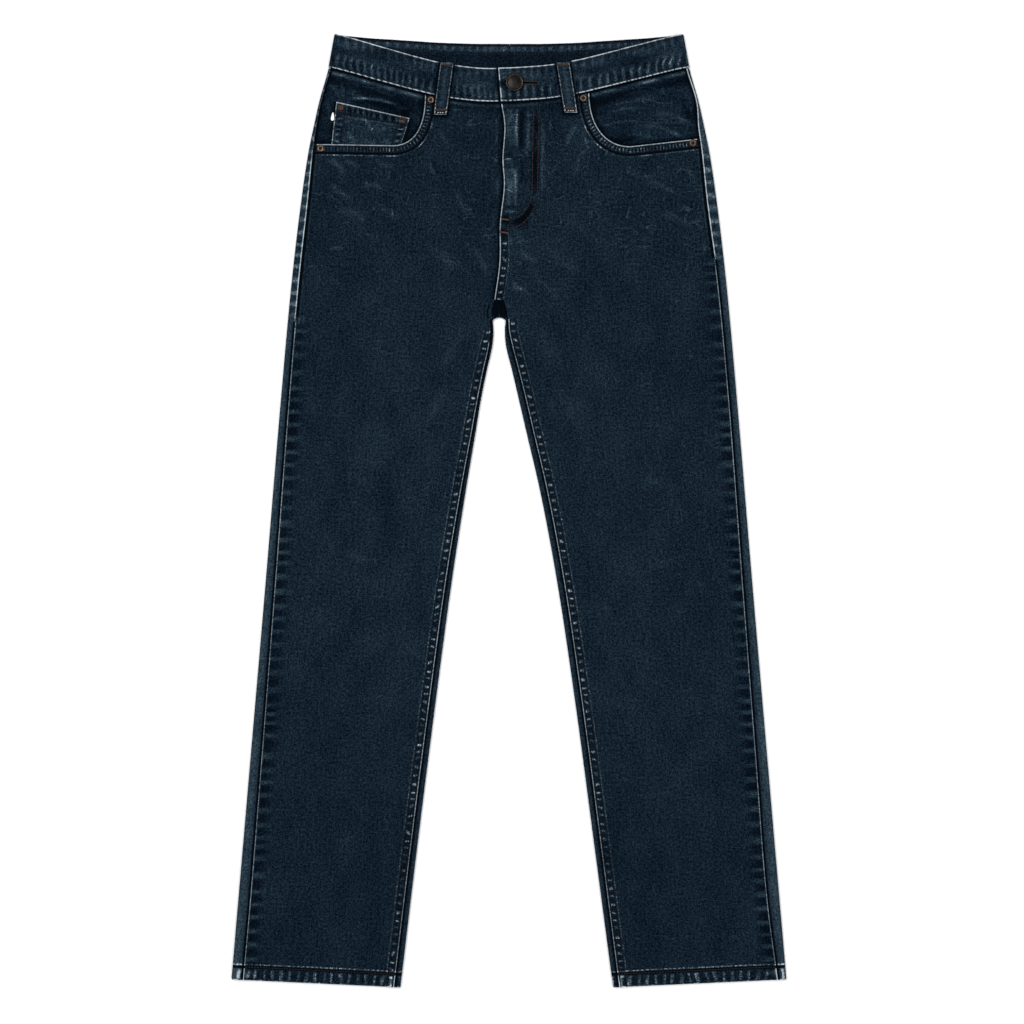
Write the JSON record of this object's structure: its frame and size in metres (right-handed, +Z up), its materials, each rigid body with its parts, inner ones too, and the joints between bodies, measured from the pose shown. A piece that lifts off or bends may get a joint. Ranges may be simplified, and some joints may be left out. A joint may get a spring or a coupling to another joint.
{
  "type": "slim fit jeans",
  "caption": "Slim fit denim trousers laid flat, front up: zip fly and waist button, belt loops, riveted curved front pockets with a coin pocket, back yokes and patch pockets, turned hems.",
  "frame": {"origin": "under the middle of the garment's bounding box, on the surface that it lies on", "axes": "+Y towards the waist, +X towards the wearer's left leg, +Z up from the surface, out of the garment's front"},
  "size_m": [0.6264, 1.0758, 0.0144],
  "materials": {
    "denim": "dark blue cotton twill, slightly worn at the seams",
    "denim_dark": "dark blue cotton twill, four layers pressed",
    "white_tab": "plain white woven tape",
    "zip_tape": "dark woven tape",
    "button_brass": "antiqued, with a polished rim",
    "rivet_copper": "antiqued copper plate"
  },
  "bodies": {
    "root": {"front_right": "denim", "front_left": "denim", "back_right": "denim", "back_left": "denim", "yoke_right": "denim", "yoke_left": "denim", "pocket_facing_right": "denim", "pocket_facing_left": "denim", "back_pocket_right": "denim", "back_pocket_left": "denim", "coin_pocket": "denim", "waistband_right": "denim_dark", "waistband_left": "denim_dark", "belt_loop_front_right": "denim_dark", "belt_loop_front_left": "denim_dark", "belt_loop_back_right": "denim_dark", "belt_loop_back_left": "denim_dark", "belt_loop_centre": "denim_dark", "coin_pocket_tab": "white_tab", "fly_zip": "zip_tape", "fly_button": "button_brass", "rivet_right_side": "rivet_copper", "rivet_right_front": "rivet_copper", "rivet_left_side": "rivet_copper", "rivet_left_front": "rivet_copper"}
  },
  "joints": []
}
